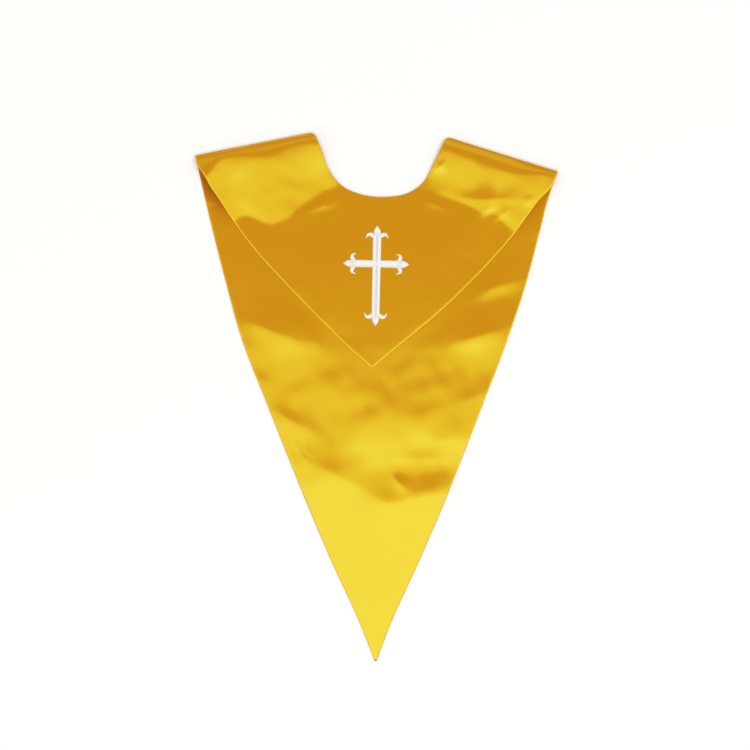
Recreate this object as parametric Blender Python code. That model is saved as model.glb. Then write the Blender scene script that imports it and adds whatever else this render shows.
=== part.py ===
"""Choir stole laid flat: a short front V with an embroidered cross over a long back V.

+Y runs from the long point to the neck, +Z is up, and the cloth lies on the plane z = 0.
The origin is the middle of the outline, on that plane. Tables are in millimetres.
"""

import math

import bpy
import numpy as np

MM = 0.001

# Driving dimensions of the cut, in millimetres
SHOULDER_LEFT = (-263.2, 349.0)
SHOULDER_RIGHT = (263.2, 325.8)
NECK_LEFT = (-90.6, 383.0)
NECK_RIGHT = (101.5, 376.4)
BACK_TIP = (-1.2, -384.2)
FRONT_TIP = (-6.1, 41.2)
TIP_WIDTH = 2.4
NECK_CORNER = 7.0

# Cloth, in millimetres: each panel is two layers of satin, and thicker over its seam allowance
WALL = 1.4
SEAM_WALL = 2.2
SEAM_WALL_FROM = 24.0
SEAM_WALL_TO = 70.0
GAP = 0.3
LAY = WALL + GAP

# Share of its seam allowance that the back shows on its upper side
BACK_SEAM_SHARE = 0.6

# The shoulder seam lies on the outermost line of the fold, at this height
SEAM_HEIGHT = 3.0
BACK_CURL = 10.0
NECK_FADE = 62.0

# Mesh spacing: columns across, rows that follow a curl, rows at these distances below the
# shoulder line, then even rows from a share of the way down
TOP_COLUMNS = 52
COLUMN_SPACING = 17.0
FEWEST_COLUMNS = 4
EVEN_COLUMNS_FROM = 0.45
CURL_STEPS_BACK = 4
CURL_STEPS_FRONT = 6
CURL_ROWS_FRONT = 24.0
ROWS_BACK = (17.0, 26.0, 38.0, 52.0, 68.0, 88.0)
ROWS_FRONT = (31.0, 40.0, 50.0, 62.0, 76.0, 92.0)
EVEN_ROWS_BACK = (0.15, 44)
EVEN_ROWS_FRONT = (0.33, 17)

# The curve of the neck between its two corners: x, y
NECKLINE = (
    (-78.6, 354.0),
    (-68.9, 327.7),
    (-49.7, 304.5),
    (-18.1, 291.4),
    (16.7, 288.8),
    (47.0, 294.8),
    (70.5, 313.0),
    (79.6, 330.0),
    (90.8, 353.5),
)

# How far each side of the back panel bows out of the straight line to its point:
# share of the way down, left, right
BACK_SIDES = (
    (0.00, 0.0, 0.0),
    (0.06, 5.4, 0.9),
    (0.12, 10.8, 5.8),
    (0.24, 20.0, 14.6),
    (0.36, 26.9, 17.2),
    (0.50, 23.5, 15.9),
    (0.68, 17.4, 12.8),
    (0.80, 11.6, 7.8),
    (0.92, 2.6, 0.6),
    (1.00, 0.0, 0.0),
)

# The same for the front panel
FRONT_SIDES = (
    (0.00, 0.0, 0.0),
    (0.05, 8.6, 8.2),
    (0.09, 10.6, 12.2),
    (0.14, 14.9, 11.8),
    (0.21, 18.3, 15.4),
    (0.30, 23.4, 21.0),
    (0.44, 27.4, 25.0),
    (0.60, 23.8, 24.0),
    (0.72, 19.0, 20.3),
    (0.83, 13.6, 12.4),
    (0.92, 8.0, 5.0),
    (1.00, 0.0, 0.0),
)

# Where the front turns over its crest, how high, and where it comes down to lie, as distances from
# the fold: share along the shoulder from outside, then crest, top and foot of the left and the right
FRONT_ROLL = (
    (0.00, 28.0, 8.0, 144.0, 8.0, 8.0, 112.0),
    (0.10, 18.0, 8.0, 125.0, 8.0, 8.0, 112.0),
    (0.24, 9.0, 8.0, 101.0, 15.0, 7.9, 103.0),
    (0.31, 11.0, 8.0, 101.0, 19.0, 7.4, 94.0),
    (0.41, 15.0, 8.0, 111.0, 21.0, 7.0, 86.0),
    (0.50, 18.0, 8.0, 120.0, 21.0, 7.0, 91.0),
    (0.63, 20.0, 8.0, 118.0, 20.0, 7.0, 87.0),
    (0.78, 14.0, 8.0, 105.0, 19.0, 7.0, 86.0),
    (0.93, 14.0, 8.0, 95.0, 18.0, 7.0, 87.0),
    (1.09, 17.0, 8.0, 87.0, 17.0, 7.0, 87.0),
    (1.50, 18.0, 8.0, 74.0, 17.0, 7.0, 84.0),
)
CREST_SOFT = 0.09

# Soft creases of the back panel: x, y, degrees from +X, half length, half width, height
BACK_CREASES = (
    (-146.0, 78.0, -34.0, 62.0, 15.0, 3.8),
    (148.0, 80.0, 18.0, 56.0, 13.0, 3.4),
    (172.0, 153.0, 14.0, 44.0, 10.0, 2.0),
    (-92.0, 26.0, -22.0, 48.0, 16.0, 2.0),
    (12.0, -44.0, -4.0, 74.0, 15.0, 3.6),
    (84.0, 6.0, 24.0, 46.0, 16.0, 2.0),
    (-38.0, -122.0, -28.0, 52.0, 10.0, 2.8),
    (66.0, -137.0, 5.0, 58.0, 10.0, 2.8),
)

# Soft creases of the front panel, in the same columns
FRONT_CREASES = (
    (166.0, 276.0, -2.0, 34.0, 28.0, 0.9),
    (-6.0, 20.0, 0.0, 120.0, 61.0, 0.55),
)
# A crease lower than this isn't made, and the back's fade out this close to the front's hem
CREASE_FLOOR = 0.25
CREASE_CLEAR = 16.0

# The cross: direction in degrees, reach from its middle to the point, half width of the bar,
# spread of its petals
CROSS_CENTRE = (0.1, 191.6)
CROSS_TILT = -1.2
STITCH_HEIGHT = 1.3
ARMS = (
    (90.0, 55.0, 6.2, 0.95),
    (180.0, 48.1, 5.4, 0.88),
    (270.0, 89.5, 5.8, 0.95),
    (0.0, 46.9, 5.4, 0.86),
)
# A bar runs from beyond the middle to this far short of the arm's point
BAR_START = -4.0
BAR_END = 12.0
# Leaf bud at the end of an arm: back from its point, half width
BUD = (
    (0.0, 0.5),
    (2.5, 2.2),
    (6.0, 4.3),
    (10.0, 5.0),
    (15.0, 3.6),
)
# Curled petal: back from the arm's point, out from its line, half width
PETAL = (
    (18.0, 1.6, 2.6),
    (14.6, 6.0, 2.8),
    (12.6, 9.6, 2.8),
    (12.6, 13.0, 2.2),
    (15.0, 15.6, 1.3),
    (18.2, 16.8, 0.5),
)
# Section of a stroke: across in half widths, up in stitch heights
STROKE = (
    (1.0, 0.0),
    (1.0, 0.35),
    (0.45, 0.9),
    (-0.45, 0.9),
    (-1.0, 0.35),
    (-1.0, 0.0),
)
# Strokes narrower than this half width are lower, down to this share of the height
FULL_HEIGHT_FROM = 2.4
LOWEST_SHARE = 0.45

SATIN_COLOUR = (0.64, 0.29, 0.01, 1.0)
THREAD_COLOUR = (0.87, 0.86, 0.82, 1.0)


def smoothstep(x):
    x = np.clip(x, 0.0, 1.0)
    return x * x * (3.0 - 2.0 * x)


def smooth_at(knots, values, x):
    """Smooth curve through a table: a cubic between rows, with the slope of each row's neighbours."""
    knots = np.asarray(knots, float)
    values = np.asarray(values, float)
    slope = np.gradient(values, knots)
    i = np.clip(np.searchsorted(knots, x, side="right") - 1, 0, len(knots) - 2)
    step = knots[i + 1] - knots[i]
    t = (x - knots[i]) / step
    start = (1 + 2 * t) * (1 - t) ** 2 * values[i] + t * (1 - t) ** 2 * step * slope[i]
    end = t * t * (3 - 2 * t) * values[i + 1] + t * t * (t - 1) * step * slope[i + 1]
    return start + end


def top_edge():
    """The shoulders and the neckline as one fine line of points from left to right."""
    left, right = np.array(SHOULDER_LEFT), np.array(SHOULDER_RIGHT)
    corner_left, corner_right = np.array(NECK_LEFT), np.array(NECK_RIGHT)
    neck = np.array(NECKLINE)

    def towards(start, end, distance):
        return start + (end - start) * distance / np.linalg.norm(end - start)

    def rounded(before, corner, after):
        t = np.linspace(0.0, 1.0, 9)[:, None]
        return (1 - t) ** 2 * before + 2 * t * (1 - t) * corner + t * t * after

    into_left = towards(corner_left, neck[0], NECK_CORNER)
    into_right = towards(corner_right, neck[-1], NECK_CORNER)
    turn_left = rounded(towards(corner_left, left, NECK_CORNER), corner_left, into_left)
    turn_right = rounded(into_right, corner_right, towards(corner_right, right, NECK_CORNER))
    knots = np.vstack([into_left, neck, into_right])
    along = np.concatenate([[0.0], np.cumsum(np.linalg.norm(np.diff(knots, axis=0), axis=1))])
    fine = np.linspace(0.0, along[-1], 160)[1:-1]
    curve = np.stack([smooth_at(along, knots[:, axis], fine) for axis in (0, 1)], axis=1)
    return np.vstack([left, turn_left, curve, turn_right, right])


def resampled(line, share):
    """Points at these shares of the line's length."""
    along = np.concatenate([[0.0], np.cumsum(np.linalg.norm(np.diff(line, axis=0), axis=1))])
    return np.stack([np.interp(share * along[-1], along, line[:, axis]) for axis in (0, 1)], axis=1)


class Panel:
    """A V-shaped piece: rows run from its left side to its right side, from the neck to its point."""

    def __init__(self, tip, sides):
        self.tip = np.array(tip)
        self.sides = np.array(sides)
        self.line = top_edge()

    def side(self, down, which):
        """Point of a side at a share of the way down: 0 is the left side and 1 the right."""
        start = np.array((SHOULDER_LEFT, SHOULDER_RIGHT)[which])
        sign = (-1.0, 1.0)[which]
        end = self.tip + (sign * TIP_WIDTH / 2, 0.0)
        bow = sign * smooth_at(self.sides[:, 0], self.sides[:, 1 + which], down)
        return start + (end - start) * down + (bow, 0.0)

    def row(self, down):
        """Points across the panel: the sides joined by a line that keeps less of the neck lower down."""
        left, right = self.side(down, 0), self.side(down, 1)
        even = smoothstep(down / EVEN_COLUMNS_FROM)
        count = max(FEWEST_COLUMNS, round((right[0] - left[0]) / COLUMN_SPACING))
        count = round(TOP_COLUMNS * (1 - even) + count * even)
        share = np.linspace(0.0, 1.0, count + 1)
        top = resampled(self.line, share)
        width = SHOULDER_RIGHT[0] - SHOULDER_LEFT[0]
        across = (top[:, 0] - SHOULDER_LEFT[0]) / width
        across = across * (1 - even) + share * even
        height = np.interp(across * width + SHOULDER_LEFT[0], self.line[:, 0], self.line[:, 1])
        rise = height - SHOULDER_LEFT[1] - (SHOULDER_RIGHT[1] - SHOULDER_LEFT[1]) * across
        points = left + (right - left) * across[:, None]
        points[:, 1] += rise * (1 - down) ** 2
        return points


def below_fold(x, y, which):
    """Distance from the line of a shoulder fold, share along it from the outer corner, and its
    inward direction."""
    outer = np.array((SHOULDER_LEFT, SHOULDER_RIGHT)[which])
    neck = np.array((NECK_LEFT, NECK_RIGHT)[which])
    length = np.linalg.norm(neck - outer)
    along = (neck - outer) / length
    inward = np.array([along[1], -along[0]]) * (1.0, -1.0)[which]
    dx, dy = x - outer[0], y - outer[1]
    distance = np.maximum(dx * inward[0] + dy * inward[1], 0.0)
    return distance, (dx * along[0] + dy * along[1]) / length, inward, length


def creases(table, x, y):
    """Sum of soft creases, each a bell across its line and a wider bell along it."""
    height = np.zeros_like(x)
    for centre_x, centre_y, degrees, half_length, half_width, top in table:
        turn = math.radians(degrees)
        along = (x - centre_x) * math.cos(turn) + (y - centre_y) * math.sin(turn)
        across = (y - centre_y) * math.cos(turn) - (x - centre_x) * math.sin(turn)
        height += top * np.exp(-((along / half_length) ** 2) - (across / half_width) ** 2)
    return np.maximum(height - CREASE_FLOOR, 0.0)


def front_hem(x, panel):
    """Height along Y of the lower edge of the front panel at x."""
    down = np.linspace(0.0, 1.0, 60)
    left = np.array([panel.side(share, 0) for share in down])
    right = np.array([panel.side(share, 1) for share in down[::-1]])
    hem = np.vstack([left, right])
    order = np.argsort(hem[:, 0], kind="stable")
    return np.interp(x, hem[order, 0], hem[order, 1])


def back_faces(points, front):
    """Outer (lower) and inner (upper) points of the back panel."""
    x, y = points[:, 0], points[:, 1]
    clear = smoothstep((front_hem(x, front) - y) / CREASE_CLEAR)
    height = creases(BACK_CREASES, x, y) * clear
    lower = np.stack([x, y, height], axis=1)
    offset = np.zeros_like(lower)
    lean = np.zeros_like(x)
    wall = np.full_like(x, WALL)
    for which in (0, 1):
        distance, along, inward, length = below_fold(x, y, which)
        beyond = smoothstep(1.0 - (along - 1.0) * length / NECK_FADE) * (along < 2.0)
        cosine = np.clip(1.0 - distance / BACK_CURL, 0.0, 1.0)
        sine = np.sqrt(1.0 - cosine**2)
        lower[:, 2] += SEAM_HEIGHT * (1.0 - sine) * beyond
        offset[:, :2] += inward * (cosine * beyond)[:, None]
        lean += cosine * beyond
        thick = 1.0 - smoothstep((distance - SEAM_WALL_FROM) / (SEAM_WALL_TO - SEAM_WALL_FROM))
        wall += (SEAM_WALL - WALL) * thick * beyond * BACK_SEAM_SHARE
    offset[:, 2] = np.sqrt(1.0 - np.clip(lean, 0.0, 1.0) ** 2)
    at_seam = lean > 0.0
    wall[at_seam] += (SEAM_WALL - wall[at_seam]) * lean[at_seam]
    return lower, lower + offset * wall[:, None]


def front_faces(points):
    """Outer (upper) and inner (lower) points of the front panel: it lies on the back, and near each
    shoulder it falls straight from a crest, which rolls over to the seam along a quarter ellipse."""
    x, y = points[:, 0], points[:, 1]
    lie = LAY + WALL
    upper = np.stack([x, y, lie + creases(FRONT_CREASES, x, y)], axis=1)
    offset = np.zeros_like(upper)
    lean = np.zeros_like(x)
    wall = np.full_like(x, WALL)
    roll = np.array(FRONT_ROLL)
    for which in (0, 1):
        distance, along, inward, length = below_fold(x, y, which)
        beyond = smoothstep(1.0 - (along - 1.0) * length / NECK_FADE) * (along < 2.0)
        at = np.clip(along, 0.0, roll[-1, 0])
        turn, top, foot = [smooth_at(roll[:, 0], roll[:, 1 + 3 * which + i], at) for i in range(3)]
        cosine = np.clip(1.0 - distance / turn, 0.0, 1.0)
        seam = SEAM_HEIGHT + GAP
        climb = seam + (top - seam) * np.sqrt(1.0 - cosine**2)
        fall = top - (top - lie) * (distance - turn) / (foot - turn)
        crest = -CREST_SOFT * np.logaddexp(-climb / CREST_SOFT, -fall / CREST_SOFT)
        crest = lie + CREST_SOFT * np.logaddexp(0.0, (crest - lie) / CREST_SOFT)
        upper[:, 2] += (crest - lie) * beyond
        offset[:, :2] += inward * (cosine * beyond)[:, None]
        lean += cosine * beyond
        thick = 1.0 - smoothstep((distance - SEAM_WALL_FROM) / (SEAM_WALL_TO - SEAM_WALL_FROM))
        wall += (SEAM_WALL - WALL) * thick * beyond
    offset[:, 2] = -np.sqrt(1.0 - np.clip(lean, 0.0, 1.0) ** 2)
    return upper, upper + offset * wall[:, None]


def row_shares(curl, steps, then, even_rows, height):
    """Shares of the way down for the rows: closer at the seam along a curl, then at set distances
    from the shoulder line, then even."""
    angles = np.linspace(0.0, math.pi / 2, steps + 1)
    start, count = even_rows
    distances = np.concatenate([curl * (1.0 - np.cos(angles)), then])
    return np.concatenate([distances / height, np.linspace(start, 1.0, count)])


def zipped(start_a, share_a, start_b, share_b):
    """Triangles between two rows of points with any number of columns, A above B."""
    triangles = []
    i = j = 0
    while i < len(share_a) - 1 or j < len(share_b) - 1:
        next_a = share_a[i + 1] if i < len(share_a) - 1 else math.inf
        next_b = share_b[j + 1] if j < len(share_b) - 1 else math.inf
        if next_a <= next_b:
            triangles.append((start_a + i, start_b + j, start_a + i + 1))
            i += 1
        else:
            triangles.append((start_a + i, start_b + j, start_b + j + 1))
            j += 1
    return triangles


def panel_mesh(rows, faces_of):
    """One closed wall: the rows' upper and lower points, joined round the border."""
    points = np.vstack(rows)
    starts = np.concatenate([[0], np.cumsum([len(row) for row in rows])])
    triangles = []
    for r in range(len(rows) - 1):
        shares = [np.linspace(0.0, 1.0, len(row)) for row in rows[r : r + 2]]
        triangles += zipped(starts[r], shares[0], starts[r + 1], shares[1])
    one, other = faces_of(points)
    upper, lower = (one, other) if one[:, 2].mean() > other[:, 2].mean() else (other, one)
    count = len(points)
    below = [(c + count, b + count, a + count) for a, b, c in triangles]
    lefts = [int(start) for start in starts[:-1]]
    rights = [int(start) - 1 for start in starts[1:]]
    loop = lefts + list(range(lefts[-1] + 1, count)) + rights[-2::-1]
    loop += list(range(rights[0] - 1, 0, -1))
    wall = []
    for a, b in zip(loop, loop[1:] + loop[:1]):
        wall.append((a, a + count, b + count))
        wall.append((a, b + count, b))
    return np.vstack([upper, lower]), triangles + below + wall


def material(name, colour, roughness):
    made = bpy.data.materials.new(name)
    made.use_nodes = True
    shader = made.node_tree.nodes["Principled BSDF"]
    shader.inputs["Base Color"].default_value = colour
    shader.inputs["Roughness"].default_value = roughness
    shader.inputs["Metallic"].default_value = 0.0
    return made


def add_object(name, points, faces, look):
    mesh = bpy.data.meshes.new(name)
    mesh.from_pydata((points * MM).tolist(), [], faces)
    mesh.update()
    mesh.shade_smooth()
    mesh.set_sharp_from_angle(angle=math.radians(35.0))
    made = bpy.data.objects.new(name, mesh)
    made.data.materials.append(look)
    bpy.context.scene.collection.objects.link(made)
    return made


def stitched(line, half_width, base):
    """A padded stroke of thread: a flat base and a crowned top carried along a line."""
    line = np.asarray(line, float)
    half_width = np.asarray(half_width, float)
    forward = np.gradient(line, axis=0)
    forward /= np.linalg.norm(forward, axis=1)[:, None]
    side = np.stack([-forward[:, 1], forward[:, 0]], axis=1)
    full = np.minimum(1.0, half_width / FULL_HEIGHT_FROM)
    tall = STITCH_HEIGHT * (LOWEST_SHARE + (1.0 - LOWEST_SHARE) * full)
    rings = []
    for across, up in STROKE:
        flat = line + side * (half_width * across)[:, None]
        rings.append(np.column_stack([flat, base + tall * up]))
    points = np.stack(rings, axis=1)
    size = len(STROKE)
    faces = []
    for i in range(len(line) - 1):
        for j in range(size):
            a, b = i * size + j, i * size + (j + 1) % size
            faces.append((a, a + size, b + size, b))
    faces.append(tuple(range(size)))
    faces.append(tuple(range(len(line) * size - 1, (len(line) - 1) * size - 1, -1)))
    return points.reshape(-1, 3), faces


def cross_strokes():
    """Each stroke of the cross as its line of points and half widths."""
    strokes = []
    centre = np.array(CROSS_CENTRE)
    bud, petal = np.array(BUD), np.array(PETAL)
    for degrees, reach, half, spread in ARMS:
        turn = math.radians(degrees + CROSS_TILT)
        out = np.array([math.cos(turn), math.sin(turn)])
        side = np.array([-out[1], out[0]])
        bar = [centre + out * BAR_START, centre + out * (reach - BAR_END)]
        strokes.append((bar, (half, half)))
        strokes.append(([centre + out * (reach - back) for back in bud[::-1, 0]], bud[::-1, 1]))
        for sign in (spread, -spread):
            line = [centre + out * (reach - back) + side * off * sign for back, off, _ in petal]
            strokes.append((line, petal[:, 2]))
    return strokes


def build_cross(shift, look):
    """The strokes joined into one closed body that lies just above the front panel."""
    base = LAY + WALL + GAP
    parts = []
    for i, (line, half_width) in enumerate(cross_strokes()):
        points, faces = stitched(line, half_width, base)
        points[:, :2] += shift
        parts.append(add_object(f"stroke_{i}", points, faces, look))
    body = parts[0]
    body.name = "embroidered_cross"
    body.data.name = "embroidered_cross"
    for part in parts[1:]:
        join = body.modifiers.new(part.name, "BOOLEAN")
        join.operation = "UNION"
        join.object = part
        part.hide_render = True
        part.display_type = "WIRE"
    return body


def main():
    for old in list(bpy.data.objects):
        bpy.data.objects.remove(old)
    satin = material("satin", SATIN_COLOUR, 0.32)
    thread = material("embroidery_thread", THREAD_COLOUR, 0.55)

    back = Panel(BACK_TIP, BACK_SIDES)
    front = Panel(FRONT_TIP, FRONT_SIDES)
    down_back = row_shares(
        BACK_CURL, CURL_STEPS_BACK, ROWS_BACK, EVEN_ROWS_BACK, SHOULDER_LEFT[1] - BACK_TIP[1]
    )
    down_front = row_shares(
        CURL_ROWS_FRONT, CURL_STEPS_FRONT, ROWS_FRONT, EVEN_ROWS_FRONT, SHOULDER_LEFT[1] - FRONT_TIP[1]
    )
    rows_back = [back.row(down) for down in down_back]
    rows_front = [front.row(down) for down in down_front]

    outline = np.vstack(rows_back)
    shift = -(outline.min(axis=0) + outline.max(axis=0)) / 2
    for name, rows, faces_of in (
        ("back_panel", rows_back, lambda points: back_faces(points, front)),
        ("front_panel", rows_front, front_faces),
    ):
        points, faces = panel_mesh(rows, faces_of)
        points[:, :2] += shift
        add_object(name, points, faces, satin)
    build_cross(shift, thread)


main()
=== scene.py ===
"""Looks of a satin choir stole laid flat: a short front V over a long back V, with a stitched cross.

The frame's +Y runs to the neck and +Z is up. Lengths in the tables and in the shape functions
are in millimetres, and only the last step of each piece turns them to metres.
"""
import math

import bpy
import numpy as np
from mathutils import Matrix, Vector


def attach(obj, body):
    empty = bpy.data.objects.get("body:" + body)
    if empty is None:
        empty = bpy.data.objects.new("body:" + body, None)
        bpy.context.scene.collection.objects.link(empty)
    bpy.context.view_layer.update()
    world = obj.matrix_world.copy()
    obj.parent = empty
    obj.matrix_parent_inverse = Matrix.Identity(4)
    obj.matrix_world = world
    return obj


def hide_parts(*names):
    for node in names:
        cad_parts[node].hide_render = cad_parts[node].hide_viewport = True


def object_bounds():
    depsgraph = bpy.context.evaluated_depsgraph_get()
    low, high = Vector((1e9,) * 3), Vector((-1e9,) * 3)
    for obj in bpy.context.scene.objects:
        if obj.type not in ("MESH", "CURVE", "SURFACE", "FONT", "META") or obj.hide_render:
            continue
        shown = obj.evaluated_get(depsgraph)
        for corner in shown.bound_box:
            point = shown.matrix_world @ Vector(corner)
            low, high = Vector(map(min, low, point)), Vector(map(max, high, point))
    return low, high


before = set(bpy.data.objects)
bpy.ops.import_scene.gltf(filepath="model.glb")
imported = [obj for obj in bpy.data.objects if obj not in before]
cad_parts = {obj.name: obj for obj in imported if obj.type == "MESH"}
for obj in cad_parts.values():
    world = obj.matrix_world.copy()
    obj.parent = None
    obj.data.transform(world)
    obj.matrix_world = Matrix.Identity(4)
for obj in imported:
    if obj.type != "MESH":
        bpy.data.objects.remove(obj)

CAD_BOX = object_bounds()
MM = 0.001

# The floor, in metres
FLOOR_REACH = 12.0
FLOOR_Z = -0.0002

# Cut of the stole, as its solids have it
SHOULDER_LEFT = (-263.2, 349.0)
SHOULDER_RIGHT = (263.2, 325.8)
NECK_LEFT = (-90.6, 383.0)
NECK_RIGHT = (101.5, 376.4)
BACK_TIP = (-1.2, -384.2)
FRONT_TIP = (-6.1, 41.2)
TIP_WIDTH = 2.4
# How far from a neck corner its rounding starts, and how many points round it
NECK_CORNER = 7.0
CORNER_POINTS = 13
# Points along a whole side or the whole neckline
LINE_POINTS = 200

# The curve of the neck between its corners: x, y
NECKLINE = (
    (-78.6, 354.0),
    (-68.9, 327.7),
    (-49.7, 304.5),
    (-18.1, 291.4),
    (16.7, 288.8),
    (47.0, 294.8),
    (70.5, 313.0),
    (79.6, 330.0),
    (90.8, 353.5),
)

# How far each side bows out of the straight line to its point: share of the way down, left, right
BACK_SIDES = (
    (0.00, 0.0, 0.0),
    (0.06, 5.4, 0.9),
    (0.12, 10.8, 5.8),
    (0.24, 20.0, 14.6),
    (0.36, 26.9, 17.2),
    (0.50, 23.5, 15.9),
    (0.68, 17.4, 12.8),
    (0.80, 11.6, 7.8),
    (0.92, 2.6, 0.6),
    (1.00, 0.0, 0.0),
)
FRONT_SIDES = (
    (0.00, 0.0, 0.0),
    (0.05, 8.6, 8.2),
    (0.09, 10.6, 12.2),
    (0.14, 14.9, 11.8),
    (0.21, 18.3, 15.4),
    (0.30, 23.4, 21.0),
    (0.44, 27.4, 25.0),
    (0.60, 23.8, 24.0),
    (0.72, 19.0, 20.3),
    (0.83, 13.6, 12.4),
    (0.92, 8.0, 5.0),
    (1.00, 0.0, 0.0),
)

# Cloth: two layers of satin, thicker over the seam allowance, which ends this far from the fold
WALL = 1.3
SEAM_WALL = 2.1
SEAM_WALL_FROM = 24.0
SEAM_WALL_TO = 70.0
# The back thickens there only by this share
BACK_SEAM_SHARE = 0.5
# Top of the back where it lies flat, and how far up the front lies on it
CLOTH_TOP = 1.4
LAY = 1.7
# How far in from an edge the two skins part as a half round
EDGE_ROUND = 1.2
# The turned edge is pressed flat and rubbed duller this far in, and so much on each panel; the same
# band gets a lighter colour, a painted highlight of the edge
EDGE_WEAR_AND_HIGHLIGHT_FROM = 0.9
EDGE_WEAR_AND_HIGHLIGHT_TO = 2.1
BACK_WEAR_AND_HIGHLIGHT = 0.12
FRONT_WEAR_AND_HIGHLIGHT = 0.8

# The fold of the shoulders: how high the seam lies, how far in the back curls up to it, and how
# far past the neck corner the fold fades
SEAM_HEIGHT = 3.15
BACK_CURL = 10.0
NECK_FADE = 62.0
# Where the front turns over its crest, how high, and where it comes down to lie, as distances from
# the fold: share along the shoulder from outside, then crest, top and foot of the left and the right
FRONT_ROLL = (
    (0.00, 40.0, 9.0, 144.0, 8.0, 8.2, 112.0),
    (0.07, 30.5, 8.8, 131.0, 8.0, 8.2, 112.0),
    (0.13, 19.0, 8.8, 119.0, 9.5, 8.2, 110.0),
    (0.20, 11.5, 8.6, 107.0, 12.5, 8.0, 106.0),
    (0.31, 11.0, 8.2, 101.0, 19.0, 7.4, 94.0),
    (0.41, 15.0, 8.0, 111.0, 21.0, 7.0, 86.0),
    (0.50, 18.0, 8.0, 120.0, 21.0, 7.0, 91.0),
    (0.63, 20.0, 8.0, 118.0, 20.0, 7.0, 87.0),
    (0.78, 14.0, 8.0, 105.0, 19.0, 7.0, 86.0),
    (0.93, 14.0, 8.0, 95.0, 18.0, 7.0, 87.0),
    (1.09, 17.0, 8.0, 87.0, 17.0, 7.0, 87.0),
    (1.50, 18.0, 8.0, 74.0, 17.0, 7.0, 84.0),
)
# How softly the climb, the fall and the lie join
CREST_SOFT = 0.09

# Creases, the main ones and small ones beside them, each a bell that is steep on one side: x, y,
# degrees from +X, half length, half width on its right hand, half width on its left hand, height
BACK_CREASES = (
    (-142.0, 91.0, -24.0, 48.0, 26.0, 40.0, 1.25),
    (150.0, 88.0, 20.0, 42.0, 25.0, 26.0, 1.20),
    (165.0, 158.0, 15.0, 42.0, 14.0, 18.0, 0.50),
    (226.0, 240.0, 2.0, 26.0, 14.0, 30.0, 0.42),
    (-236.5, 286.5, -37.0, 9.0, 6.5, 6.0, 2.00),
    (-165.0, 22.0, -28.0, 20.0, 30.0, 15.0, 0.30),
    (146.0, -2.0, 16.0, 30.0, 30.0, 15.0, 0.30),
    (-118.0, -40.0, -29.0, 40.0, 30.0, 15.0, 0.55),
    (-14.0, -42.0, 30.0, 40.0, 40.0, 50.0, 0.65),
    (30.0, -12.0, -6.0, 32.0, 46.0, 36.0, 0.45),
    (60.0, -40.0, -38.0, 26.0, 38.0, 44.0, 0.45),
    (112.0, -58.0, 8.0, 40.0, 30.0, 62.0, 0.90),
    (64.0, -90.0, -2.0, 44.0, 9.0, 22.0, 0.22),
    (-113.0, -76.0, -60.0, 9.0, 3.0, 4.0, 0.10),
    (-105.0, -90.0, -46.0, 8.0, 3.0, 3.5, 0.09),
    (-98.0, -80.0, -28.0, 6.0, 3.0, 3.5, 0.08),
    (-66.0, -113.0, -23.0, 44.0, 62.0, 29.0, 1.50),
    (8.0, -153.0, -24.0, 34.0, 62.0, 20.0, 0.70),
    (72.0, -144.0, 14.0, 60.0, 62.0, 31.0, 1.80),
    (34.0, -127.0, -50.0, 15.0, 7.5, 10.0, 0.42),
)
FRONT_CREASES = (
    (164.0, 284.0, -1.0, 40.0, 46.0, 16.0, 0.86),
    (220.0, 284.0, 48.0, 8.0, 6.0, 5.0, 0.16),
    (92.0, 333.0, 40.0, 9.0, 7.0, 6.0, 0.25),
    (-78.0, 277.0, 20.0, 28.0, 8.0, 12.0, 0.46),
    (156.0, 266.0, 36.0, 12.0, 4.5, 7.0, 0.16),
    (181.0, 262.0, 32.0, 14.0, 4.5, 7.0, 0.15),
    (80.0, 281.0, -24.0, 26.0, 9.0, 12.0, 0.36),
    (-6.0, 20.0, 0.0, 120.0, 60.0, 62.0, 0.55),
)
# The back's creases start at the front's hem and are whole this far below it
CREASE_CLEAR = 44.0
# A crease's crest is pinched: 2 would be round and 1 a sharp line
PINCH = 1.4
PINCH_ROUND = 0.12
# Small waves of each panel: seed, how many, shortest and longest, height
BACK_WAVES = (11, 26, 26.0, 110.0, 0.12)
FRONT_WAVES = (5, 26, 24.0, 90.0, 0.085)
# The back's waves fade out over this stretch of y, and it sinks no lower than this
WAVES_END = -150.0
WAVES_WHOLE = -100.0
LOWEST_SINK = -0.1

# Painted shade: beside the front's edge on the left and on the right the back's colour turns darker
# and redder, standing in for the shadow and the light bounced between the layers: most, reach out
# from the edge, y where it is full, y where it ends
FOLD_SHADE = (
    (1.0, 38.0, 312.0, 235.0),
    (0.35, 26.0, 290.0, 225.0),
)

# Grid of each panel: the lines that follow an edge lie this far in from it, then rows, columns
EDGE_LINES = (0.0, 0.08, 0.28, 0.55, 0.9, 1.3, 2.8, 6.0)
FIRST_INNER_LINE = 9.0
BACK_GRID = (212, 216)
FRONT_GRID = (236, 190)
# The columns are spread evenly from this share of the way down, and the lines beside the edges
# draw together where the panel is narrower than this many times their band
EVEN_FROM = 0.5
NARROW = 4.0
# Beside the neck the columns turn over this depth, and the turn fades this far from the sides
NECK_TURN = 12.0
NECK_TURN_SIDE = 30.0
# Only this far down does a point's distance from the top edge count
TOP_ZONE = 60.0
FAR_IN = 99.0

# The cross
CROSS_CENTRE = (0.1, 191.6)
CROSS_TILT = -1.2
# The cloth under it stays smooth in an oval: how far the oval's middle lies below the cross's
# centre, its half width, its width as a share of its height, and the width of its border
CROSS_OVAL = (17.0, 66.0, 0.8, 20.0)
# The stitches start just above the front's cloth. Threads of 0.4 mm are too fine to show, so
# their ridges are drawn 0.9 mm apart
CROSS_BASE = LAY + WALL + 0.03
STITCH_HEIGHT = 1.15
THREAD_PITCH = 0.9
THREAD_RELIEF = 0.05
# The sides of a stroke sway with the threads, by this share and this much out of step
THREAD_SWAY = 0.012
SWAY_PHASE = 0.7
THINNEST = 0.12
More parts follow.
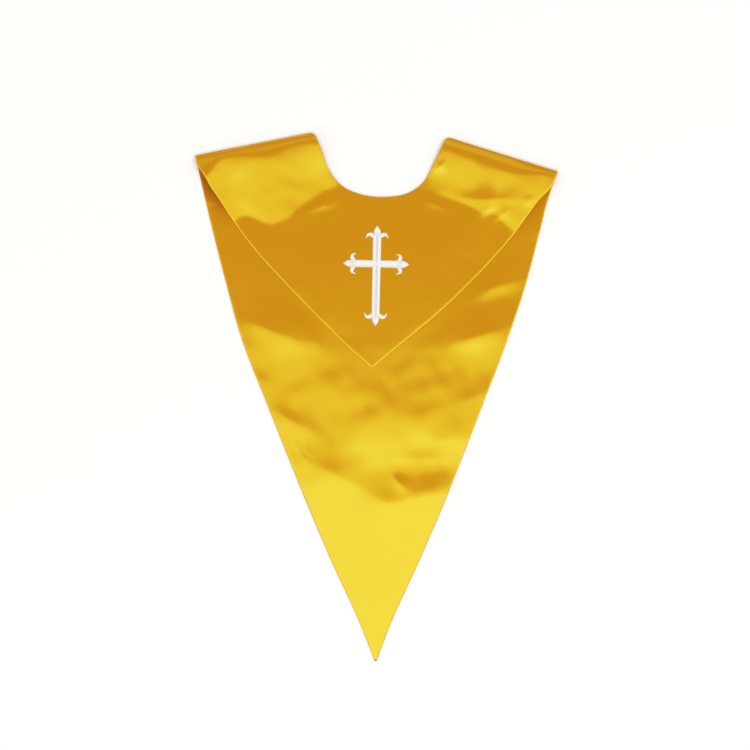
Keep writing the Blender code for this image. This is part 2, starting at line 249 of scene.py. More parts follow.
# A stroke: points across it, how square its crown is and how steep its sides, how much of the full
# height a hair-thin one has and the half width that adds a whole one, the length over which an end
# rises, and how high an end starts
STROKE_POINTS = 13
CROWN_SQUARE = 2.6
CROWN_STEEP = 0.55
THIN_SHARE = 0.35
THIN_OVER = 4.5
STITCH_END = 1.2
END_SHARE = 0.3
# Painted shade on the threads beside a neighbour and at a root: from this share of the half width,
# over this much of it, and this far along from a root
GROOVE_SHADE_FROM = 0.15
GROOVE_SHADE_OVER = 0.6
ROOT_REACH = 9.0
# Arms: direction in degrees, reach to the point, half width of the bar, spread of its petals
ARMS = (
    (90.0, 55.0, 6.2, 0.95),
    (180.0, 48.1, 5.4, 0.88),
    (270.0, 89.5, 5.8, 0.95),
    (0.0, 46.9, 5.4, 0.86),
)
# Leaf bud at the end of an arm: back from its point, half width
BUD = (
    (0.0, 0.25),
    (2.5, 2.2),
    (6.0, 4.3),
    (10.0, 5.0),
    (15.5, 3.4),
)
# Curled petal: back from the arm's point, out from its line, half width
PETAL = (
    (18.0, 1.6, 2.6),
    (14.6, 6.0, 2.8),
    (12.6, 9.6, 2.8),
    (12.6, 13.0, 2.2),
    (15.0, 15.6, 1.2),
    (18.4, 16.8, 0.25),
)
# Each kind of stroke: share of the stitches' height, how much painted shade it gets on its inner
# side (less than 0 on the right of its line) and at its root
PETAL_STITCH = (0.95, 0.0, 0.8)
BUD_STITCH = (1.0, 0.0, 0.5)
CROSSBAR_STITCH = (0.9, -0.4, 0.0)
UPRIGHT_HEIGHT = 1.1
UPRIGHT_GROOVE_SHADE = 1.15
# How far back from the points the bars end, how wide the crossbar is in the middle as a share of
# its left end, and the two bars of the upright: offset and half width as shares of the arm's
BAR_END = 13.0
CROSSBAR_WAIST = 0.94
UPRIGHT_OFFSET = 0.48
UPRIGHT_SHARE = 0.5

# Camera straight above: width and centre of what it sees, and its height
FRAME_WIDTH = 1087.5
FRAME_CENTRE = (-2.2, 31.7)
CAMERA_HEIGHT = 5200.0

# Soft boxes overhead, each turned straight down or to the middle, in metres: name, place, target,
# size, brightness, colour
OVERHEAD = (
    ("key", (0.0, -3.33, 8.0), (0.0, -3.33, 0.0), (7.5, 6.0), 2.3, "#FFFFFF"),
    ("edge_of_key", (0.0, -0.11, 8.0), (0.0, -0.11, 0.0), (7.5, 0.44), 1.6, "#FFF0A8"),
    ("strip_behind_left", (-2.0, 3.2, 8.0), (-2.0, 3.2, 0.0), (4.0, 2.4), 0.28, "#FFFFFF"),
    ("strip_behind_right", (2.0, 3.2, 8.0), (2.0, 3.2, 0.0), (4.0, 2.4), 0.48, "#FFFFFF"),
    ("high_left", (-5.4, 0.3, 7.6), (0.0, 0.0, 0.0), (4.0, 4.0), 0.9, "#FFFFFF"),
    ("high_right", (5.4, 0.3, 7.6), (0.0, 0.0, 0.0), (4.0, 4.0), 3.6, "#FFFFFF"),
)
WORLD_BRIGHTNESS = 0.33

# Soft boxes low round the stole, which let the satin glint in views from the side, in metres:
# degrees from +X, height, size, brightness, colour
STRIP_REACH = 8.5
LOW_STRIPS = (
    (92.0, 5.6, (4.5, 2.0), 1.0, "#FFF8EC"),
    (118.0, 5.4, (2.6, 1.8), 0.9, "#FFF8EC"),
    (48.0, 3.8, (4.0, 2.2), 1.5, "#FFF8EC"),
    (134.0, 3.8, (4.0, 2.2), 1.5, "#FFF8EC"),
    (-90.0, 3.9, (3.6, 1.6), 1.4, "#FFF8EC"),
    (4.0, 3.8, (4.0, 2.2), 1.5, "#FFF8EC"),
    (177.0, 3.8, (4.0, 2.2), 1.5, "#FFF8EC"),
    (-40.0, 2.6, (3.2, 1.4), 1.3, "#FFE7B8"),
    (-140.0, 3.6, (4.0, 2.2), 2.0, "#FFE4B4"),
)


def smoothstep(x):
    """0 to 1 along the cubic 3x2 - 2x3, level at both ends."""
    x = np.clip(x, 0.0, 1.0)
    return x * x * (3.0 - 2.0 * x)


def smooth_at(knots, values, x):
    """A cubic through the rows of a table, each row's slope taken from its neighbours."""
    knots = np.asarray(knots, float)
    values = np.asarray(values, float)
    slope = np.gradient(values, knots)
    i = np.clip(np.searchsorted(knots, x, side="right") - 1, 0, len(knots) - 2)
    step = knots[i + 1] - knots[i]
    t = (x - knots[i]) / step
    start = (1 + 2 * t) * (1 - t) ** 2 * values[i] + t * (1 - t) ** 2 * step * slope[i]
    end = t * t * (3 - 2 * t) * values[i + 1] + t * t * (t - 1) * step * slope[i + 1]
    return start + end


def along_line(line):
    """Length along a line of points, from its first point to each."""
    return np.concatenate([[0.0], np.cumsum(np.linalg.norm(np.diff(line, axis=0), axis=1))])


def top_edge():
    """The shoulders and the neckline from left to right: straight lines, a cubic through the
    neckline's table, and a quadratic curve round each neck corner."""
    left, right = np.array(SHOULDER_LEFT), np.array(SHOULDER_RIGHT)
    corner_left, corner_right = np.array(NECK_LEFT), np.array(NECK_RIGHT)
    neck = np.array(NECKLINE)

    def towards(start, end, distance):
        return start + (end - start) * distance / np.linalg.norm(end - start)

    def rounded(before, corner, after):
        t = np.linspace(0.0, 1.0, CORNER_POINTS)[:, None]
        return (1 - t) ** 2 * before + 2 * t * (1 - t) * corner + t * t * after

    into_left = towards(corner_left, neck[0], NECK_CORNER)
    into_right = towards(corner_right, neck[-1], NECK_CORNER)
    turn_left = rounded(towards(corner_left, left, NECK_CORNER), corner_left, into_left)
    turn_right = rounded(into_right, corner_right, towards(corner_right, right, NECK_CORNER))
    knots = np.vstack([into_left, neck, into_right])
    along = along_line(knots)
    fine = np.linspace(0.0, along[-1], LINE_POINTS)[1:-1]
    curve = np.stack([smooth_at(along, knots[:, axis], fine) for axis in (0, 1)], axis=1)
    return np.vstack([left, turn_left, curve, turn_right, right])


TOP_LINE = top_edge()


def side_line(tip, sides, down, which):
    """Points of the left (0) or right (1) side: the straight line to the tip, bowed by the table."""
    table = np.array(sides)
    start = np.array((SHOULDER_LEFT, SHOULDER_RIGHT)[which])
    sign = (-1.0, 1.0)[which]
    end = np.array(tip) + (sign * TIP_WIDTH / 2, 0.0)
    points = start + (end - start) * down[:, None]
    points[:, 0] += sign * smooth_at(table[:, 0], table[:, 1 + which], down)
    return points


def panel_grid(tip, sides, rows, columns):
    """A V-shaped panel as a function of two parameters, down and across.

    Each row is the left side, moved across to the right side in proportion, and lifted by the
    shape of the top edge, which fades as the square of the way left. Lines beside an edge keep a
    set distance from it. Returns x, y and each point's distance from the nearest edge and from the
    nearest side.
    """
    edge = np.array(EDGE_LINES)
    height = SHOULDER_LEFT[1] - tip[1]
    even_rows = np.linspace(FIRST_INNER_LINE, height, rows - len(edge))
    down = (np.concatenate([edge, even_rows]) / height)[:, None]
    left = side_line(tip, sides, down[:, 0], 0)
    right = side_line(tip, sides, down[:, 0], 1)
    width = right[:, :1] - left[:, :1]

    # Columns: even along the top edge at the top, even across the panel further down
    inner = np.linspace(0.0, 1.0, columns - 2 * len(edge))
    along = along_line(TOP_LINE)
    start = FIRST_INNER_LINE / along[-1]
    top_x = np.interp((start + inner * (1 - 2 * start)) * along[-1], along, TOP_LINE[:, 0])
    by_top = (top_x - top_x[0]) / (top_x[-1] - top_x[0])
    even = smoothstep(down / EVEN_FROM)
    inner = by_top * (1 - even) + inner * even
    room = np.minimum(1.0, width / (NARROW * edge[-1]))
    margin = FIRST_INNER_LINE * room / width
    inner = margin + inner * (1 - 2 * margin)
    band = edge * room / width
    across = np.hstack([band, inner, 1 - band[:, ::-1]])

    span = SHOULDER_RIGHT[0] - SHOULDER_LEFT[0]
    chord = SHOULDER_LEFT[1] + (SHOULDER_RIGHT[1] - SHOULDER_LEFT[1]) * across
    rise = np.interp(across * span + SHOULDER_LEFT[0], TOP_LINE[:, 0], TOP_LINE[:, 1]) - chord
    x = left[:, :1] + width * across
    y = left[:, 1:] + (right[:, 1:] - left[:, 1:]) * across + rise * (1 - down) ** 2

    # Beside the neck the first rows step straight in from the edge, then turn to run down
    top = np.stack([x[0], y[0]], axis=1)
    run = np.gradient(top, axis=0)
    run /= np.linalg.norm(run, axis=1)[:, None]
    inward = np.stack([run[:, 1], -run[:, 0]], axis=1)
    depth = y[0] - y
    turn = depth * np.exp(-depth / NECK_TURN) * smoothstep(across * width / NECK_TURN_SIDE)
    turn *= smoothstep((1 - across) * width / NECK_TURN_SIDE)
    x = x + turn * inward[:, 0]
    y = y + turn * (inward[:, 1] + 1.0)

    from_top = (x - top[:, 0]) * inward[:, 0] + (y - top[:, 1]) * inward[:, 1]
    below = np.where(depth < TOP_ZONE, 2.0 * np.maximum(from_top, 0.0), FAR_IN)
    beside = np.full_like(x, np.inf)
    for side, sign in ((left, 1.0), (right, -1.0)):
        lean = np.gradient(side, axis=0)
        lean /= np.linalg.norm(lean, axis=1)[:, None]
        beside = np.minimum(beside, sign * (x - side[:, :1]) * np.abs(lean[:, 1:]))
    return x, y, np.maximum(np.minimum(below, beside), 0.0), beside


def below_fold(x, y, which):
    """Distance in from a shoulder's fold line, share along it from the outer corner, the fold's
    inward direction, and how much of the fold is left beyond the neck corner."""
    outer = np.array((SHOULDER_LEFT, SHOULDER_RIGHT)[which])
    neck = np.array((NECK_LEFT, NECK_RIGHT)[which])
    length = np.linalg.norm(neck - outer)
    along = (neck - outer) / length
    inward = np.array([along[1], -along[0]]) * (1.0, -1.0)[which]
    dx, dy = x - outer[0], y - outer[1]
    distance = np.maximum(dx * inward[0] + dy * inward[1], 0.0)
    share = (dx * along[0] + dy * along[1]) / length
    left_over = smoothstep(1.0 - (share - 1.0) * length / NECK_FADE) * (share < 2.0)
    return distance, share, inward, left_over


def creases(table, x, y):
    """Sum of creases, each a bell along its line times a pinched bell across it with two widths."""
    height = np.zeros_like(x)
    for centre_x, centre_y, degrees, half_length, right, left, top in table:
        turn = math.radians(degrees)
        along = (x - centre_x) * math.cos(turn) + (y - centre_y) * math.sin(turn)
        across = (y - centre_y) * math.cos(turn) - (x - centre_x) * math.sin(turn)
        half_width = np.where(across < 0.0, right, left)
        away = np.hypot(across / half_width, PINCH_ROUND) ** PINCH - PINCH_ROUND**PINCH
        height += top * np.exp(-((along / half_length) ** 2) - away)
    return height


def waves(x, y, seed, count, shortest, longest, height):
    """Uneven cloth: a sum of plane waves with random directions, lengths and phases."""
    draw = np.random.default_rng(seed)
    turns = draw.uniform(0.0, math.pi, count)
    lengths = np.exp(draw.uniform(math.log(shortest), math.log(longest), count))
    phases = draw.uniform(0.0, 2 * math.pi, count)
    total = np.zeros_like(x)
    for turn, length, phase in zip(turns, lengths, phases):
        run = x * math.cos(turn) + y * math.sin(turn)
        total += (length / longest) * np.sin(2 * math.pi * run / length + phase)
    return height * total / math.sqrt(count)


def front_hem(x):
    """Where along Y the lower edge of the front panel lies at x."""
    down = np.linspace(0.0, 1.0, LINE_POINTS)
    left = side_line(FRONT_TIP, FRONT_SIDES, down, 0)
    right = side_line(FRONT_TIP, FRONT_SIDES, down, 1)[::-1]
    hem = np.vstack([left, right])
    order = np.argsort(hem[:, 0], kind="stable")
    return np.interp(x, hem[order, 0], hem[order, 1])


def fold_shade_mask(x, y):
    """How much painted shade a point of the back gets beside the front's edge, from 0 to 1: it fades
    with the distance from that edge, and along it away from the shoulder."""
    down = np.linspace(1.0, 0.0, LINE_POINTS)
    painted_fold_shade = np.zeros_like(x)
    for which, (most, reach, start, end) in enumerate(FOLD_SHADE):
        side = side_line(FRONT_TIP, FRONT_SIDES, down, which)
        beside = np.abs(np.interp(y, side[:, 1], side[:, 0]) - x)
        shade = most * smoothstep(1.0 - beside / reach) * smoothstep((y - end) / (start - end))
        painted_fold_shade = np.maximum(painted_fold_shade, shade * (x * (-1, 1)[which] > 0))
    return painted_fold_shade


def back_middle(x, y):
    """The middle of the back's cloth: flat, raised by its creases below the front's hem, and
    curled up to the seam along a quarter of an ellipse under each shoulder fold. Returns its points
    and the cloth's thickness at each."""
    clear = smoothstep((front_hem(x) - y) / CREASE_CLEAR)
    uneven = waves(x, y, *BACK_WAVES) * smoothstep((y - WAVES_END) / (WAVES_WHOLE - WAVES_END))
    rise = creases(BACK_CREASES, x, y) + uneven
    z = CLOTH_TOP - WALL / 2 + np.maximum(rise * clear, LOWEST_SINK)
    lean_x, lean_y = np.zeros_like(x), np.zeros_like(x)
    wall = np.full_like(x, WALL)
    for which in (0, 1):
        distance, _, inward, left_over = below_fold(x, y, which)
        cosine = np.clip(1.0 - distance / BACK_CURL, 0.0, 1.0)
        sine = np.sqrt(1.0 - cosine**2)
        z += (SEAM_HEIGHT - z) * (1.0 - sine) * left_over
        lean_x += inward[0] * cosine * left_over * SEAM_WALL / 2
        lean_y += inward[1] * cosine * left_over * SEAM_WALL / 2
        thick = 1.0 - smoothstep((distance - SEAM_WALL_FROM) / (SEAM_WALL_TO - SEAM_WALL_FROM))
        wall += (SEAM_WALL - WALL) * thick * left_over * BACK_SEAM_SHARE
    z += (wall - WALL) / 2
    return np.stack([x + lean_x, y + lean_y, z], axis=-1), wall


def front_middle(x, y):
    """The middle of the front's cloth: it lies on the back, and near each shoulder it climbs to a
    crest and rolls over to the seam along a quarter of an ellipse. Returns its points and the
    cloth's thickness at each."""
    below, half_width, flatter, border = CROSS_OVAL
    from_cross = np.hypot(x - CROSS_CENTRE[0], (y - CROSS_CENTRE[1] + below) * flatter)
    keep = smoothstep((from_cross - half_width) / border)
    lie = LAY + WALL / 2
    z = lie + creases(FRONT_CREASES, x, y) + waves(x, y, *FRONT_WAVES) * keep
    lean_x, lean_y = np.zeros_like(x), np.zeros_like(x)
    wall = np.full_like(x, WALL)
    roll = np.array(FRONT_ROLL)
    for which in (0, 1):
        distance, share, inward, left_over = below_fold(x, y, which)
        at = np.clip(share, 0.0, roll[-1, 0])
        turn, top, foot = [smooth_at(roll[:, 0], roll[:, 1 + 3 * which + i], at) for i in range(3)]
        cosine = np.clip(1.0 - distance / turn, 0.0, 1.0)
        top = top - SEAM_WALL / 2
        climb = SEAM_HEIGHT + (top - SEAM_HEIGHT) * np.sqrt(1.0 - cosine**2)
        fall = top - (top - lie) * (distance - turn) / (foot - turn)
        crest = -CREST_SOFT * np.logaddexp(-climb / CREST_SOFT, -fall / CREST_SOFT)
        crest = lie + CREST_SOFT * np.logaddexp(0.0, (crest - lie) / CREST_SOFT)
        z += (crest - lie) * left_over
        lean_x += inward[0] * cosine * left_over * SEAM_WALL / 2
        lean_y += inward[1] * cosine * left_over * SEAM_WALL / 2
        thick = 1.0 - smoothstep((distance - SEAM_WALL_FROM) / (SEAM_WALL_TO - SEAM_WALL_FROM))
        wall += (SEAM_WALL - WALL) * thick * left_over
    return np.stack([x + lean_x, y + lean_y, z], axis=-1), wall


def closed_shell(middle, wall, edge):
    """The middle surface moved half its wall along its normal to either side.

    At an edge the half wall closes as a half round, so the two skins share the border. Returns
    points, quads, and which grid points have a second point below them.
    """
    rows, columns = edge.shape
    normal = np.cross(np.gradient(middle, axis=0), np.gradient(middle, axis=1))
    normal /= np.linalg.norm(normal, axis=2)[..., None]
    normal *= np.where(normal[rows // 3, columns // 2, 2] < 0, -1.0, 1.0)
    close = np.sqrt(1.0 - (1.0 - np.clip(edge / EDGE_ROUND, 0.0, 1.0)) ** 2)
    half = wall / 2 * close
    upper = middle + normal * half[..., None]
    lower = middle - normal * half[..., None]
    index = np.arange(rows * columns).reshape(rows, columns)
    inside = np.zeros((rows, columns), bool)
    inside[1:-1, 1:-1] = True
    other = index.copy()
    other[inside] = rows * columns + np.arange(inside.sum())

    def quads(grid, flip):
        corners = [grid[:-1, :-1], grid[1:, :-1], grid[1:, 1:], grid[:-1, 1:]]
        stacked = np.stack([c.ravel() for c in corners], axis=1)
        return stacked[:, ::-1] if flip else stacked

    upper[~inside] = middle[~inside]
    points = np.vstack([upper.reshape(-1, 3), lower[inside]])
    return points, np.vstack([quads(index, False), quads(other, True)]), inside


def make_mesh(name, points, quads, material, uv=None, tones=()):
    """A smooth-shaded object at the origin from points in millimetres and an array of quads."""
    mesh = bpy.data.meshes.new(name)
    mesh.vertices.add(len(points))
    mesh.vertices.foreach_set("co", (points * MM).astype(np.float32).ravel())
    mesh.loops.add(quads.size)
    mesh.loops.foreach_set("vertex_index", quads.astype(np.int32).ravel())
    mesh.polygons.add(len(quads))
    mesh.polygons.foreach_set("loop_start", np.arange(0, quads.size, 4, dtype=np.int32))
    mesh.update(calc_edges=True)
    mesh.validate()
    if uv is not None:
        layer = mesh.uv_layers.new(name="cloth")
        layer.data.foreach_set("uv", (uv * MM).astype(np.float32)[quads.ravel()].ravel())
    for key, tone in dict(tones).items():
        layer = mesh.attributes.new(key, "FLOAT", "POINT")
        layer.data.foreach_set("value", tone.astype(np.float32))
    mesh.shade_smooth()
    mesh.materials.append(material)
    piece = bpy.data.objects.new(name, mesh)
    bpy.context.scene.collection.objects.link(piece)
    return piece


def cloth_piece(name, panel, middle_of, wear_and_highlight, under_front, material, shift):
    """A panel as a closed shell, laid out flat for its UV map, with two tones for its material: the
    band of the turned edge that is pressed and rubbed duller and lightened as a painted highlight,
    and the painted shade and redder bounced light beside the front's edge."""
    x, y, edge, beside = panel_grid(*panel)
    middle, wall = middle_of(x, y)
    points, quads, inside = closed_shell(middle, wall, edge)
    flat = points[:, :2].copy()
    points[:, :2] += shift
    # Edge band: rougher gloss from wear, and a lighter colour that is a painted highlight
    pressed_and_highlight = wear_and_highlight * (1.0 - smoothstep((beside - EDGE_WEAR_AND_HIGHLIGHT_FROM) / (EDGE_WEAR_AND_HIGHLIGHT_TO - EDGE_WEAR_AND_HIGHLIGHT_FROM)))
    # Painted shade and redder bounced light of the fold beside the front's edge
    painted_fold_shade = fold_shade_mask(x, y) if under_front else np.zeros_like(x)
    tones = {"pressed_and_highlight": pressed_and_highlight, "painted_fold_shade": painted_fold_shade}
    tones = {key: np.concatenate([tone.ravel(), tone[inside]]) for key, tone in tones.items()}
    return make_mesh(name, points, quads, material, flat, tones)


def stroke(line, half_width, base, share, inner, root):
    """A padded column of satin stitch: a crowned section carried along a smooth line.

    The section is a flat foot and a top that falls off steeply to its sides; the threads cross the
    line, so the top also rises and falls once for each thread. The last result is how much painted
    shade each point gets beside a neighbour: on the inner side (1 left, -1 right), or at the line's
    root.
    """
    line, half_width = np.asarray(line, float), np.asarray(half_width, float)
    knots = along_line(line)
    steps = max(8, int(knots[-1] / THREAD_PITCH * 3))
    at = np.linspace(0.0, knots[-1], steps + 1)
    path = np.stack([smooth_at(knots, line[:, axis], at) for axis in (0, 1)], axis=1)
    half = np.maximum(smooth_at(knots, half_width, at), THINNEST)
    forward = np.gradient(path, axis=0)
    forward /= np.linalg.norm(forward, axis=1)[:, None]
    side = np.stack([-forward[:, 1], forward[:, 0]], axis=1)
    across = np.cos(np.linspace(0.0, math.pi, STROKE_POINTS))
    crown = (1.0 - np.abs(across) ** CROWN_SQUARE) ** CROWN_STEEP
    tall = STITCH_HEIGHT * share * np.minimum(1.0, THIN_SHARE + half / THIN_OVER)
    ends = smoothstep(at / STITCH_END) * smoothstep((knots[-1] - at) / STITCH_END)
    thread = THREAD_RELIEF * np.cos(2 * math.pi * at / THREAD_PITCH)
    tall = tall * (END_SHARE + (1.0 - END_SHARE) * ends)
    z = base + crown[None, :] * (tall + thread)[:, None]
    wide = half * (1.0 + THREAD_SWAY * np.cos(2 * math.pi * at / THREAD_PITCH + SWAY_PHASE))
    flat = path[:, None, :] + side[:, None, :] * (across[None, :] * wide[:, None])[..., None]
    top = np.concatenate([flat, z[..., None]], axis=2)
    foot = top[:, ::-1][:, 4:-4:2].copy()
    foot[..., 2] = base
    ring = np.concatenate([top, foot], axis=1)
    # Painted shade beside the neighbouring bar and at the root; the geometry is not sunk
    lap = abs(inner) * smoothstep((across[None, :] * np.sign(inner) - GROOVE_SHADE_FROM) / GROOVE_SHADE_OVER)
    painted_groove_shade = np.zeros(ring.shape[:2])
    painted_groove_shade[:, : len(across)] = np.maximum(lap, root * smoothstep(1.0 - at / ROOT_REACH)[:, None])
    count, size = ring.shape[:2]
    index = np.arange(count * size).reshape(count, size)
    turned = np.roll(index, -1, axis=1)
    sides = [index[:-1], index[1:], turned[1:], turned[:-1]]
    quads = np.stack([part.ravel() for part in sides], axis=1)
    return ring.reshape(-1, 3), quads, index[0], index[-1], painted_groove_shade.ravel()


def cross_strokes():
    """The cross as strokes, each a line, its half widths, a share of the stitches' height, and how
    much painted shade it gets on its inner side and at its root.

    An upright of two bars side by side lies on one crossbar, and each end has a bud and two
    curled petals.
    """
    centre = np.array(CROSS_CENTRE)
    strokes, ends = [], []
    for degrees, reach, half, spread in ARMS:
        turn = math.radians(degrees + CROSS_TILT)
        out = np.array([math.cos(turn), math.sin(turn)])
        side = np.array([-out[1], out[0]])
        petal, bud = np.array(PETAL), np.array(BUD)
        for sign in (1.0, -1.0):
            line = [centre + out * (reach - back) + side * off * sign * spread
                    for back, off, _ in petal]
            strokes.append((line, petal[:, 2], *PETAL_STITCH))
        line = [centre + out * (reach - back) for back in bud[::-1, 0]]
        strokes.append((line, bud[::-1, 1], *BUD_STITCH))
        ends.append((centre + out * (reach - BAR_END), half))
    (top, top_half), (left, left_half), (bottom, bottom_half), (right, right_half) = ends
    halves = (left_half, left_half * CROSSBAR_WAIST, right_half)
    strokes.append(([left, centre, right], halves, *CROSSBAR_STITCH))
    across = np.array([1.0, 0.0])
    halves = (bottom_half * UPRIGHT_SHARE, top_half * UPRIGHT_SHARE)
    for offset in (-UPRIGHT_OFFSET, UPRIGHT_OFFSET):
        line = [bottom + across * bottom_half * offset, top + across * top_half * offset]
        strokes.append((line, halves, UPRIGHT_HEIGHT, UPRIGHT_GROOVE_SHADE * offset, 0.0))
    return strokes


def cross_piece(material, shift):
    """All the strokes in one mesh, each closed with a fan of quads at both ends."""
    points, quads, painted_groove_shade, count = [], [], [], 0
    for line, half, *rest in cross_strokes():
        # The last result of a stroke is its painted groove shade, not a depth
        ring, faces, first, last, depth = stroke(line, half, CROSS_BASE, *rest)
        painted_groove_shade.append(depth)
        points.append(ring)
        quads.append(faces + count)
        for loop in (first[::-1], last):
            fan = [(loop[0], loop[i], loop[i + 1], loop[min(i + 2, len(loop) - 1)])
                   for i in range(1, len(loop) - 2, 2)]
            quads.append(np.array(fan) + count)
        count += len(ring)
    points = np.vstack(points)
    points[:, :2] += shift
    tones = {"painted_groove_shade": np.concatenate(painted_groove_shade)}
    return make_mesh("cross_embroidery", points, np.vstack(quads), material, tones=tones)


def linear(code):
    """The linear colour of an sRGB hex code."""
    channels = [int(code[i : i + 2], 16) / 255 for i in (1, 3, 5)]
    return (*[c / 12.92 if c <= 0.04045 else ((c + 0.055) / 1.055) ** 2.4 for c in channels], 1.0)


def node(tree, kind, inputs=(), links=(), **settings):
    """Adds a shader node, sets its properties and input values, and links its inputs."""
    made = tree.nodes.new(kind)
    for key, value in settings.items():
        setattr(made, key, value)
    for key, value in dict(inputs).items():
        made.inputs[key].default_value = value
    for key, socket in dict(links).items():
        tree.links.new(socket, made.inputs[key])
    return made


def new_material(name):
    """A material with an empty node tree."""
    made = bpy.data.materials.new(name)
    made.use_nodes = True
    made.node_tree.nodes.clear()
    return made, made.node_tree


def polyester_satin():
    """Gold polyester satin, woven with long warp floats on its face: a dark amber body under a
    strong, slightly lemon gloss that spreads across the threads. Its colour also carries a painted
    highlight along the turned edge and painted shade beside the front's edge."""
    made, tree = new_material("polyester_satin")
    place = node(tree, "ShaderNodeUVMap", uv_map="cloth").outputs["UV"]
    # Floats of 0.3 mm are too fine to show, so the streaks are drawn about 1.2 mm wide
    stretched = node(tree, "ShaderNodeMapping", {"Scale": (820.0, 46.0, 60.0)}, {"Vector": place})
    floats = node(
        tree, "ShaderNodeTexNoise", {"Scale": 1.0, "Detail": 3.0, "Roughness": 0.6},
        {"Vector": stretched.outputs["Vector"]},
    )
    cloudy = node(tree, "ShaderNodeTexNoise", {"Scale": 9.0, "Detail": 2.0}, {"Vector": place})
    tone = node(
        tree, "ShaderNodeMix", {"A": linear("#D88501"), "B": linear("#DC8902")},
        {"Factor": cloudy.outputs["Fac"]}, data_type="RGBA",
    )
    # The lighter colour along the turned edge is a painted highlight; the rougher gloss there is
    # wear
    pressed_and_highlight = node(tree, "ShaderNodeAttribute", attribute_name="pressed_and_highlight").outputs["Fac"]
    wear_and_highlight = node(
        tree, "ShaderNodeMix", {"B": linear("#FAA01A")},
        {"Factor": pressed_and_highlight, "A": tone.outputs["Result"]}, data_type="RGBA",
    )
    # The darker, redder colour beside the front's edge is painted shade and bounced light of the
    # fold
    painted_fold_shade = node(tree, "ShaderNodeAttribute", attribute_name="painted_fold_shade").outputs["Fac"]
    between = node(
        tree, "ShaderNodeMix", {"B": linear("#B03A00")},
        {"Factor": painted_fold_shade, "A": wear_and_highlight.outputs["Result"]}, data_type="RGBA",
    )
    dull = node(
        tree, "ShaderNodeMapRange", {"To Min": 0.105, "To Max": 0.45}, {"Value": pressed_and_highlight},
    )
    relief = node(
        tree, "ShaderNodeBump", {"Strength": 0.10, "Distance": 0.0004},
        {"Height": floats.outputs["Fac"]},
    )
    shader = node(
        tree, "ShaderNodeBsdfPrincipled",
        {"IOR": 1.92, "Specular IOR Level": 1.0, "Specular Tint": linear("#CFFF5A")},
        {"Base Color": between.outputs["Result"], "Roughness": dull.outputs["Result"],
         "Normal": relief.outputs["Normal"]},
    )
    node(tree, "ShaderNodeOutputMaterial", {}, {"Surface": shader.outputs["BSDF"]})
    return made


def rayon_thread():
    """White rayon embroidery thread laid as satin stitch: bright, with a soft sheen."""
    made, tree = new_material("rayon_thread")
    place = node(tree, "ShaderNodeTexCoord").outputs["Object"]
    fibre = node(tree, "ShaderNodeTexNoise", {"Scale": 1600.0, "Detail": 2.0}, {"Vector": place})
    relief = node(
        tree, "ShaderNodeBump", {"Strength": 0.15, "Distance": 0.0002},
        {"Height": fibre.outputs["Fac"]},
    )
    tone = node(
        tree, "ShaderNodeMix", {"A": linear("#E8E7E5"), "B": linear("#F8F7F3")},
        {"Factor": fibre.outputs["Fac"]}, data_type="RGBA",
    )
    # Greyer threads beside a neighbour and at the petals' roots are painted shade
    painted_groove_shade = node(tree, "ShaderNodeAttribute", attribute_name="painted_groove_shade").outputs["Fac"]
    shaded = node(
        tree, "ShaderNodeMix", {"B": linear("#CDCBD5")},
        {"Factor": painted_groove_shade, "A": tone.outputs["Result"]}, data_type="RGBA",
    )
    shader = node(
        tree, "ShaderNodeBsdfPrincipled", {"Roughness": 0.42, "Specular IOR Level": 0.5},
        {"Base Color": shaded.outputs["Result"], "Normal": relief.outputs["Normal"]},
    )
    node(tree, "ShaderNodeOutputMaterial", {}, {"Surface": shader.outputs["BSDF"]})
    return made


def studio_floor():
    """A wide sheet of plain white matt paper, just below the stole."""
    made, tree = new_material("white_paper")
    shader = node(
        tree, "ShaderNodeBsdfPrincipled",
        {"Base Color": linear("#FDFDFD"), "Roughness": 0.9, "Specular IOR Level": 0.1},
    )
    node(tree, "ShaderNodeOutputMaterial", {}, {"Surface": shader.outputs["BSDF"]})
    mesh = bpy.data.meshes.new("floor")
    corners = ((-1, -1), (1, -1), (1, 1), (-1, 1))
    corners = [(x * FLOOR_REACH, y * FLOOR_REACH, FLOOR_Z) for x, y in corners]
    mesh.from_pydata(corners, [], [(0, 1, 2, 3)])
    mesh.materials.append(made)
    floor = bpy.data.objects.new("floor", mesh)
    bpy.context.scene.collection.objects.link(floor)


def softbox(name, place, target, size, brightness, colour):
    """A rectangular area light at place, turned to its target. Its brightness is what a mirror
    would show of it, and a lamp's power is that times its area and pi."""
    light = bpy.data.lights.new(name, "AREA")
    light.shape = "RECTANGLE"
    light.size, light.size_y = size
    light.energy = brightness * size[0] * size[1] * math.pi
    light.color = linear(colour)[:3]
    made = bpy.data.objects.new(name, light)
    made.location = place
    made.rotation_euler = (Vector(target) - Vector(place)).to_track_quat("-Z", "Y").to_euler()
    bpy.context.scene.collection.objects.link(made)


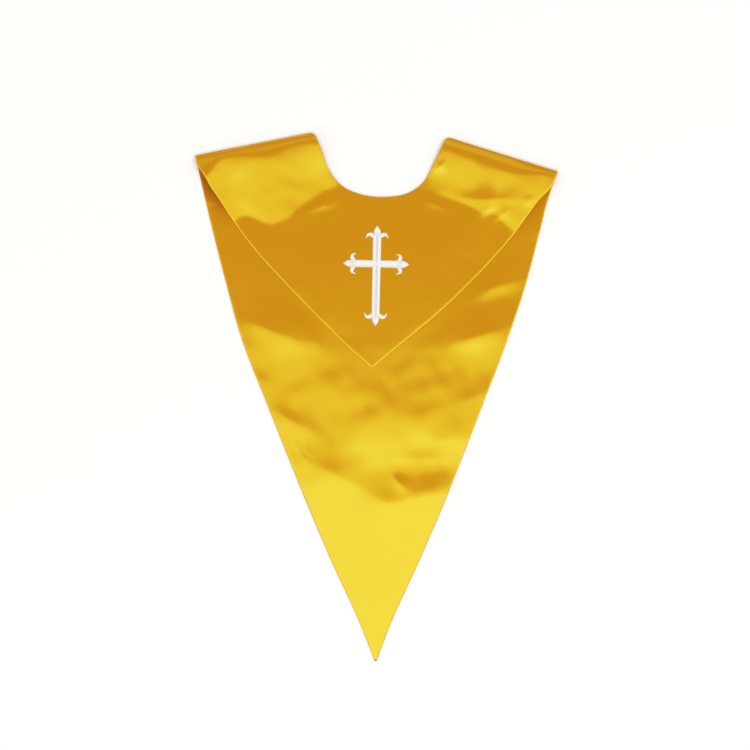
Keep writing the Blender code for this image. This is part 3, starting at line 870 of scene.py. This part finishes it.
def studio():
    """The floor, the soft boxes and an even pale surround."""
    studio_floor()
    for row in OVERHEAD:
        softbox(*row)
    for turn, height, size, brightness, colour in LOW_STRIPS:
        round_x, round_y = math.cos(math.radians(turn)), math.sin(math.radians(turn))
        place = (STRIP_REACH * round_x, STRIP_REACH * round_y, height)
        softbox(f"low_strip_{turn:.0f}", place, (0.0, 0.0, 0.0), size, brightness, colour)
    world = bpy.data.worlds.new("studio")
    bpy.context.scene.world = world
    world.use_nodes = True
    surround = world.node_tree.nodes["Background"]
    surround.inputs["Color"].default_value = linear("#FFFFFF")
    surround.inputs["Strength"].default_value = WORLD_BRIGHTNESS
    bpy.context.scene.view_settings.view_transform = "Standard"


def camera():
    """A perspective camera straight above, with the photograph's frame."""
    data = bpy.data.cameras.new("camera")
    data.sensor_width = 36.0
    data.lens = data.sensor_width * CAMERA_HEIGHT / FRAME_WIDTH
    made = bpy.data.objects.new("camera", data)
    made.location = (FRAME_CENTRE[0] * MM, FRAME_CENTRE[1] * MM, CAMERA_HEIGHT * MM)
    bpy.context.scene.collection.objects.link(made)
    bpy.context.scene.camera = made


def to_frame():
    """How far x and y move so that the middle of the outline's box is the middle of the solids'."""
    low, high = CAD_BOX
    outline = np.vstack([TOP_LINE, BACK_TIP])
    return np.array([
        (low.x + high.x) / 2 / MM - (outline[:, 0].min() + outline[:, 0].max()) / 2,
        (low.y + high.y) / 2 / MM - (outline[:, 1].min() + outline[:, 1].max()) / 2,
    ])


def main():
    """Builds the scene, attaches each piece to the root body and hides the solid it takes the place
    of.
    """
    camera()
    studio()
    shift = to_frame()
    satin = polyester_satin()
    panel = (BACK_TIP, BACK_SIDES, *BACK_GRID)
    back = cloth_piece("back_cloth", panel, back_middle, BACK_WEAR_AND_HIGHLIGHT, True, satin, shift)
    panel = (FRONT_TIP, FRONT_SIDES, *FRONT_GRID)
    front = cloth_piece("front_cloth", panel, front_middle, FRONT_WEAR_AND_HIGHLIGHT, False, satin, shift)
    cross = cross_piece(rayon_thread(), shift)
    for piece, solid, finish in (
        (back, "back_panel", "satin"),
        (front, "front_panel", "satin"),
        (cross, "embroidered_cross", "embroidery"),
    ):
        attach(piece, "root")
        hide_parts(solid)


main()
